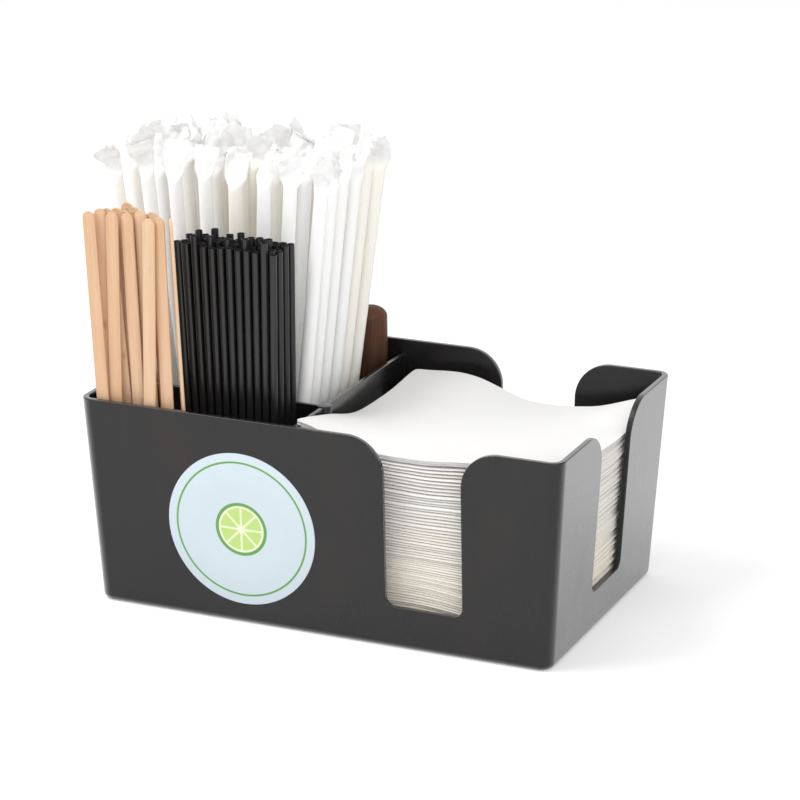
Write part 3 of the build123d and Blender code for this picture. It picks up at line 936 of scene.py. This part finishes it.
class Stack:
    """The folded napkins as leaves that follow the top napkin's shape more and more up the stack."""

    def __init__(self, settings, moulding):
        self.s = settings
        self.tray = Tray(moulding)
        self.wall = moulding.wall + 0.15 * MM
        low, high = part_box("napkins_bottom")
        self.half = (high.x - low.x) / 2
        self.centre = Vector(((high.x + low.x) / 2, (high.y + low.y) / 2))
        self.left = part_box("long_divider")[1].x + 0.1 * MM
        self.foot = low.z
        self.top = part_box("top_napkin")[0].z
        self.outline = rounded_rectangle(self.half, self.half, settings.corner_radius, 3, 34)

    def shape(self, x, y):
        """Height of the top napkin's shape over its lowest place, for a place on the napkin."""
        across = curve_weights(x / (2 * self.half) + 0.5)
        deep = curve_weights(y / (2 * self.half) + 0.5)
        return float(deep @ TOP_SHAPE @ across) * MM

    def height(self, x, y, level):
        """Height of a leaf at a level from 0 at the floor to 1 under the top napkin."""
        plain = self.foot + level * (self.top - self.foot)
        follow = self.shape(x, y) * max(0.0, (level - FOLLOW_START) / (1 - FOLLOW_START)) ** FOLLOW_POWER
        slump = sin(pi * min(1.0, level / 0.5)) ** 2
        wave = self.s.slump * cos((x + 0.012) / 0.030 * 1.6 + 3 * y) * slump
        ripple = 0.5 * MM * wobble(x * 38, y * 38, level * 9) * min(1.0, level * 6)
        return plain + follow + wave + ripple

    def inside(self, x, y, z):
        """The nearest place that is clear of the walls and the divider."""
        reach_x = self.tray.half_length(z) - self.wall
        reach_y = self.tray.half_width(z) - self.wall
        return min(reach_x, max(self.left, x)), min(reach_y, max(-reach_y, y))

    def leaf(self, shell, level, thickness, number, factors, lift=0.0, top=False):
        """One leaf: a thin folded slab, its edges a little out of line with the others."""
        luck = Random(number)
        loose = 0.35 if top else 1.0
        shift_x = self.s.shift * luck.uniform(-1, 1) * loose
        shift_y = self.s.shift * luck.uniform(-1, 1) * loose
        right_reach = self.s.shift * luck.uniform(-0.6, 1.8)
        turn = self.s.turn * level + radians(luck.uniform(-0.22, 0.22))
        slide = Vector(self.s.slide) * level
        rings, rest, border = [], [], []
        levels = [(f, 1) for f in reversed(factors)] + [(f, -1) for f in factors]
        for factor, side in levels:
            ring, flat = [], []
            for p in self.outline:
                frill = 0.16 * MM * wobble(p.x * 210, p.y * 210, number * 1.7)
                push = max(0.0, p.x / self.half) ** 3 * right_reach
                x = (p.x + push) * factor
                y = p.y * (factor + frill / self.half)
                z = self.height(x, y, level) + lift
                if top:
                    z += 0.25 * MM * wobble(x * 60, y * 60, 4.2)
                edge = 0.35 if factor == 1.0 else 1.0
                flat.append((x, y, number * 0.013))
                x, y = x + shift_x, y + shift_y
                x, y = x * cos(turn) - y * sin(turn), x * sin(turn) + y * cos(turn)
                x, y = self.inside(self.centre.x + slide.x + x, self.centre.y + slide.y + y, z)
                ring.append((x, y, z + side * edge * thickness / 2))
            rings.append(ring)
            rest.append(flat)
            border.append(1.0 if factor > 0.84 else 0.0)
        # Tone rises with the level, so painted shade makes the lower leaves creamier. The random part from
        # leaf to leaf is the paper's own.
        tone = min(1.0, max(0.0, level * 1.05 - 0.30 + luck.uniform(-0.12, 0.12)))
        shell.skin(rings[::-1], rest[::-1], tone=1.0 if top else tone, border=border[::-1])


class CADDY_OT_napkins(bpy.types.Operator):
    """Build the stack of folded napkins"""

    bl_idname = "caddy.napkins"
    bl_label = "Napkin Stack"

    def execute(self, context):
        s = context.scene.caddy_napkins
        stack = Stack(s, context.scene.caddy_moulding)
        material = napkin_material("napkin_cream", s)
        shells = {node: Shell() for node in NAPKIN_GROUPS}
        luck = Random(7)
        weights = [luck.uniform(0.72, 1.28) for _ in range(s.leaves)]
        total = sum(weights)
        level = 0.0
        plain = (1.0, 0.985, 0.9, 0.45, 0.03)
        fine = (1.0, 0.985, 0.93, 0.86, 0.72, 0.58, 0.44, 0.3, 0.16, 0.03)
        for number, weight in enumerate(weights):
            share_of_stack = weight / total
            middle = level + share_of_stack / 2
            level += share_of_stack
            thickness = share_of_stack * (stack.top - stack.foot) * luck.uniform(0.82, 0.97)
            group = next(node for node, limit in NAPKIN_GROUPS.items() if middle <= limit)
            factors = fine if number == s.leaves - 1 else plain
            stack.leaf(shells[group], middle * 0.992, thickness, number + 1, factors)
        for node, shell in shells.items():
            place_piece(shell.mesh(node + "_leaves", 60), "napkin_stack", "napkin_cream", material, node)
        return {"FINISHED"}


class CADDY_OT_top_napkin(bpy.types.Operator):
    """Build the white napkin on top with its plies"""

    bl_idname = "caddy.top_napkin"
    bl_label = "Top Napkin"

    def execute(self, context):
        s = context.scene.caddy_napkins
        stack = Stack(s, context.scene.caddy_moulding)
        material = napkin_material("napkin_white", s)
        fine = (1.0, 0.992, 0.96, 0.92, 0.86, 0.78, 0.69, 0.6, 0.5, 0.4, 0.3, 0.2, 0.1, 0.03)
        shell = Shell()
        for ply in range(s.top_leaves):
            lift = TOP_LIFT + ply * s.top_pitch
            stack.leaf(shell, 1.0, s.top_pitch * 0.72, 200 + ply, fine, lift=lift, top=True)
        mesh = shell.mesh("top_napkin_plies", 60)
        place_piece(mesh, "top_napkin_body", "napkin_white", material, "top_napkin")
        return {"FINISHED"}


# Sticks and straws


class CADDY_OT_stir_sticks(bpy.types.Operator):
    """Build the birch stir sticks"""

    bl_idname = "caddy.stir_sticks"
    bl_label = "Stir Sticks"

    def execute(self, context):
        s = context.scene.caddy_sticks
        material = birch_material(s)
        for number, node in enumerate(STICKS):
            points = solids_of(node)[0]
            foot, full, axes = lie_of(points)
            across_reach = np.ptp(points @ axes[1])
            out_reach = np.ptp(points @ axes[2])
            shell = Shell()
            self.stick(shell, s, foot, full, axes, across_reach, out_reach, number)
            mesh = shell.mesh(f"birch_stick_{number + 1:02d}", 50)
            place_piece(mesh, "stir_sticks", "birch", material, node)
        return {"FINISHED"}

    def stick(self, shell, s, foot, full, axes, width, thickness, number):
        """A flat stick with full-round ends and broken edges, a little bowed."""
        luck = Random(40 + number)
        radius = width / 2
        bow = s.bow * luck.uniform(-1, 1)
        ends = [radius * (1 - cos(step * pi / 18)) for step in range(1, 10)]
        stations = [0.02 * MM, *ends]
        stations += [radius + (full - width) * step / 16 for step in range(1, 16)]
        stations += [full - d for d in reversed([0.02 * MM, *ends])]
        rings, rest = [], []
        for d in stations:
            near = min(d, full - d, radius)
            half = sqrt(max(radius ** 2 - (radius - near) ** 2, (0.2 * MM) ** 2))
            edge = min(s.edge, half * 0.6)
            outline = [
                (half, -thickness / 2 + edge), (half, thickness / 2 - edge), (half - edge, thickness / 2),
                (edge - half, thickness / 2), (-half, thickness / 2 - edge), (-half, edge - thickness / 2),
                (edge - half, -thickness / 2), (half - edge, -thickness / 2),
            ]
            lift = bow * (1 - (2 * d / full - 1) ** 2)
            ring = [foot + axes[0] * d + axes[1] * a + axes[2] * (o + lift) for a, o in outline]
            rings.append(ring)
            rest.append([(a, o, d) for a, o in outline])
        shell.skin(rings, rest, tone=luck.random())


class CADDY_OT_black_straws(bpy.types.Operator):
    """Build the short black straws"""

    bl_idname = "caddy.black_straws"
    bl_label = "Short Straws"

    def execute(self, context):
        s = context.scene.caddy_straws
        material = straw_material(s)
        for row, node in enumerate(BLACK_ROWS):
            shell = Shell()
            for column, points in enumerate(solids_of(node)):
                self.straw(shell, s, lie_of(points), row * 20 + column)
            mesh = shell.mesh(f"short_straws_{row + 1}", 40)
            place_piece(mesh, "black_straws", "straw_black", material, node)
        return {"FINISHED"}

    def straw(self, shell, s, lie, number):
        """An open tube with a thin rounded lip at both ends."""
        foot, full, (along, across, out) = lie
        outer = s.diameter / 2
        bore = outer - s.wall
        lip = s.wall / 4
        sections = [
            (lip, bore), (0.0, bore + lip), (0.0, outer - lip), (lip, outer), (full - lip, outer),
            (full, outer - lip), (full, bore + lip), (full - lip, bore), (lip, bore),
        ]
        rings, rest = [], []
        turn = number * 0.7
        for d, radius in sections:
            angles = [turn + 2 * pi * side / s.sides for side in range(s.sides)]
            rings.append([foot + along * d + radius * (across * cos(a) + out * sin(a)) for a in angles])
            rest.append([(radius * cos(a) + number * 0.02, radius * sin(a), d) for a in angles])
        shell.skin(rings, rest, tone=Random(number).random(), caps=(False, False))


class CADDY_OT_wrapped_straws(bpy.types.Operator):
    """Build the straws in their paper sleeves"""

    bl_idname = "caddy.wrapped_straws"
    bl_label = "Wrapped Straws"

    def execute(self, context):
        s = context.scene.caddy_wrappers
        material = wrapper_material(s)
        for row, node in enumerate(WRAPPED_ROWS):
            shell = Shell()
            for column, points in enumerate(solids_of(node)):
                self.sleeve(shell, s, lie_of(points), row * 20 + column)
            name = f"wrapped_straws_{row + 1}"
            place_piece(shell.mesh(name, 55), "wrapped_straws", "wrapper_paper", material, node)
        return {"FINISHED"}

    def sleeve(self, shell, s, lie, number):
        """A creased paper tube whose ends are pinched flat, twisted and bent over."""
        foot, full, (along, across, out) = lie
        luck = Random(900 + number)
        radius = s.diameter / 2
        flat = s.flat_end * luck.uniform(0.9, 1.15)
        pinch = luck.uniform(0.62, 1.0)
        bend = radians(luck.choice((-1, 1)) * luck.uniform(5, 80))
        twist = radians(luck.uniform(-70, 70))
        straw_top = full - flat
        stations = [0, 3 * MM, 6 * MM, 9 * MM, 12 * MM, 15 * MM]
        stations += list(np.linspace(25 * MM, straw_top - 8 * MM, 15))
        stations += list(np.linspace(straw_top - 4 * MM, full, 18))
        rings, rest, thin = [], [], []
        for d in stations:
            top_flat = smooth_step(d, straw_top - 1 * MM, straw_top + 5 * MM)
            low_flat = 1 - smooth_step(d, 5 * MM, 13 * MM)
            flatness = max(top_flat, low_flat)
            past = max(0.0, d - straw_top) / flat
            neck = 1 - (1 - pinch) * sin(pi * min(1.0, past * 1.6)) if past > 0 else 1.0
            half_wide = (radius + (s.end_width / 2 - radius) * flatness) * neck
            half_deep = radius + (s.paper / 2 - radius) * flatness
            crumple = 2.2 * MM * smooth_step(past, 0.05, 0.7)
            turned = twist * smooth_step(past, 0.0, 1.0)
            ring, straight = [], []
            for side in range(s.sides):
                angle = 2 * pi * side / s.sides
                crease = 0.035 * wobble(cos(angle) * 1.6 + number * 3.1, sin(angle) * 1.6, d * 14)
                a = half_wide * cos(angle) * (1 + crease * (1 - flatness))
                o = half_deep * sin(angle) * (1 + crease * (1 - flatness))
                spread = a / half_wide
                fold = crumple * (
                    wobble(spread * 2.1 + number * 5.3, d * 260, 1.7)
                    + 0.5 * wobble(spread * 4.6, d * 520 + number, 6.1)
                )
                rest_point = (a + number * 0.02, o, d)
                o += fold
                a, o = a * cos(turned) - o * sin(turned), a * sin(turned) + o * cos(turned)
                above = max(0.0, d - straw_top - 1.5 * MM)
                arc = bend * min(1.0, above / (flat * 0.75))
                if above > 0 and abs(arc) > 1e-4:
                    reach = above / arc if abs(arc) > 0 else 0.0
                    rise = reach * sin(arc) + o * -sin(arc)
                    lean = reach * (1 - cos(arc)) + o * cos(arc)
                    base = straw_top + 1.5 * MM
                else:
                    rise, lean, base = 0.0, o, d
                ring.append(foot + along * (base + rise) + across * a + out * lean)
                straight.append(rest_point)
            rings.append(ring)
            rest.append(straight)
            thin.append(min(1.0, past * 3))
        shell.skin(rings, rest, tone=luck.random(), thin=thin)


class CADDY_OT_muddler(bpy.types.Operator):
    """Build the dark wooden muddler in the rear corner"""

    bl_idname = "caddy.muddler"
    bl_label = "Muddler"

    def execute(self, context):
        s = context.scene.caddy_muddler
        points = solids_of("muddler")[0]
        foot, full, (along, across, out) = lie_of(points)
        foot_radius = np.ptp(points @ across) / 2
        top_radius = foot_radius * s.top_share
        edge = 1.0 * MM
        sections = [(0.0, foot_radius - edge), (edge * 0.3, foot_radius - edge * 0.3), (edge, foot_radius)]
        shoulder = full - s.dome
        for step in range(1, 14):
            sections.append((edge + (shoulder - edge) * step / 14,
                             foot_radius + (top_radius - foot_radius) * step / 14))
        for step in range(8):
            angle = step / 8 * pi / 2
            sections.append((shoulder + s.dome * sin(angle), top_radius * cos(angle)))
        sides = 48
        rings, rest, thin = [], [], []
        for d, radius in sections:
            ring, straight = [], []
            for side in range(sides):
                angle = 2 * pi * side / sides
                rib = 1 + 0.012 * wobble(cos(angle) * 5, sin(angle) * 5, d * 4)
                a, o = radius * rib * cos(angle), radius * rib * sin(angle)
                ring.append(foot + along * d + across * a + out * o)
                straight.append((a, o, d))
            rings.append(ring)
            rest.append(straight)
            # Share of the painted highlight near the top, kept in the 'thin' attribute.
            thin.append(smooth_step(d, full * 0.72, full * 0.97))
        shell = Shell()
        shell.skin(rings, rest, thin=thin)
        material = dark_wood_material(s)
        place_piece(shell.mesh("wooden_muddler"), "muddler_body", "dark_wood", material, "muddler")
        return {"FINISHED"}


# Stage


class CADDY_OT_stage(bpy.types.Operator):
    """Build the floor, the lamps, the world and the camera"""

    bl_idname = "caddy.stage"
    bl_label = "Stage"

    def execute(self, context):
        s = context.scene.caddy_stage
        self.floor(s)
        self.world(context.scene, s)
        self.lamp("key", (-0.75, -0.55, 1.25), 0.9, s.key_power)
        self.lamp("fill", (0.9, -1.1, 0.8), 1.0, s.fill_power)
        self.camera(context.scene)
        context.scene.view_settings.view_transform = "Standard"
        return {"FINISHED"}

    def floor(self, s):
        half = 6.0
        mesh = bpy.data.meshes.new("floor")
        corners = [(-half, -half, 0), (half, -half, 0), (half, half, 0), (-half, half, 0)]
        mesh.from_pydata(corners, [], [(0, 1, 2, 3)])
        floor = bpy.data.objects.new("floor", mesh)
        bpy.context.scene.collection.objects.link(floor)
        material = bpy.data.materials.new("white_floor")
        material.use_nodes = True
        material.node_tree.nodes.clear()
        w = Wiring(material.node_tree)
        shown = seen_directly(w)
        glow = w.add("Emission", {"Strength": w.math("MULTIPLY", shown, s.floor_glow)})
        paper = w.add("BsdfDiffuse", {"Color": s.floor_colour})
        both = w.add("AddShader")
        w.feed(both.inputs[0], paper.outputs[0])
        w.feed(both.inputs[1], glow.outputs[0])
        output = w.add("OutputMaterial")
        w.feed(output.inputs["Surface"], both.outputs[0])
        mesh.materials.append(material)

    def world(self, scene, s):
        world = bpy.data.worlds.new("white_studio")
        scene.world = world
        world.use_nodes = True
        world.node_tree.nodes.clear()
        w = Wiring(world.node_tree)
        shown = seen_directly(w)
        strength = w.remap(shown, 0.0, 1.0, s.sky, 1.0)
        back = w.add("Background", {"Color": (1.0, 1.0, 1.0), "Strength": strength})
        output = w.add("OutputWorld")
        w.feed(output.inputs["Surface"], back.outputs[0])

    def lamp(self, name, place, size, power):
        lamp = bpy.data.lights.new(name, "AREA")
        lamp.shape = "DISK"
        lamp.size = size
        lamp.energy = power
        holder = bpy.data.objects.new(name, lamp)
        bpy.context.scene.collection.objects.link(holder)
        holder.location = place
        aim = Vector((0, 0, 0.07)) - Vector(place)
        holder.rotation_euler = aim.to_track_quat("-Z", "Y").to_euler()

    def camera(self, scene):
        camera = bpy.data.cameras.new("camera")
        camera.lens = 142.45
        camera.sensor_width = 36.0
        camera.clip_start = 0.05
        camera.clip_end = 30.0
        holder = bpy.data.objects.new("camera", camera)
        scene.collection.objects.link(holder)
        holder.location = (0.5788, -1.3009, 0.5572)
        holder.rotation_euler = Euler((radians(71.97), 0, radians(23.58)))
        scene.camera = holder


class CADDY_PT_sidebar(bpy.types.Panel):
    """Lists the steps that build the caddy, with their settings"""

    bl_idname = "CADDY_PT_sidebar"
    bl_label = "Bar Caddy"
    bl_space_type = "VIEW_3D"
    bl_region_type = "UI"
    bl_category = "Bar Caddy"

    def draw(self, context):
        for step in STEPS:
            self.layout.operator(step.bl_idname)
        for name, group in SETTINGS.items():
            box = self.layout.box()
            box.label(text=name.replace("caddy_", "").title())
            for field in group.__annotations__:
                box.prop(getattr(context.scene, name), field)


STEPS = (
    CADDY_OT_moulding,
    CADDY_OT_label,
    CADDY_OT_napkins,
    CADDY_OT_top_napkin,
    CADDY_OT_stir_sticks,
    CADDY_OT_black_straws,
    CADDY_OT_wrapped_straws,
    CADDY_OT_muddler,
    CADDY_OT_stage,
)


def register():
    for group in SETTINGS.values():
        bpy.utils.register_class(group)
    for name, group in SETTINGS.items():
        setattr(bpy.types.Scene, name, PointerProperty(type=group))
    for part in (*STEPS, CADDY_PT_sidebar):
        bpy.utils.register_class(part)


def unregister():
    for part in (CADDY_PT_sidebar, *reversed(STEPS)):
        bpy.utils.unregister_class(part)
    for name in SETTINGS:
        delattr(bpy.types.Scene, name)
    for group in reversed(list(SETTINGS.values())):
        bpy.utils.unregister_class(group)


def main():
    register()
    for step in STEPS:
        space, name = step.bl_idname.split(".")
        getattr(getattr(bpy.ops, space), name)()


if __name__ == "__main__":
    main()
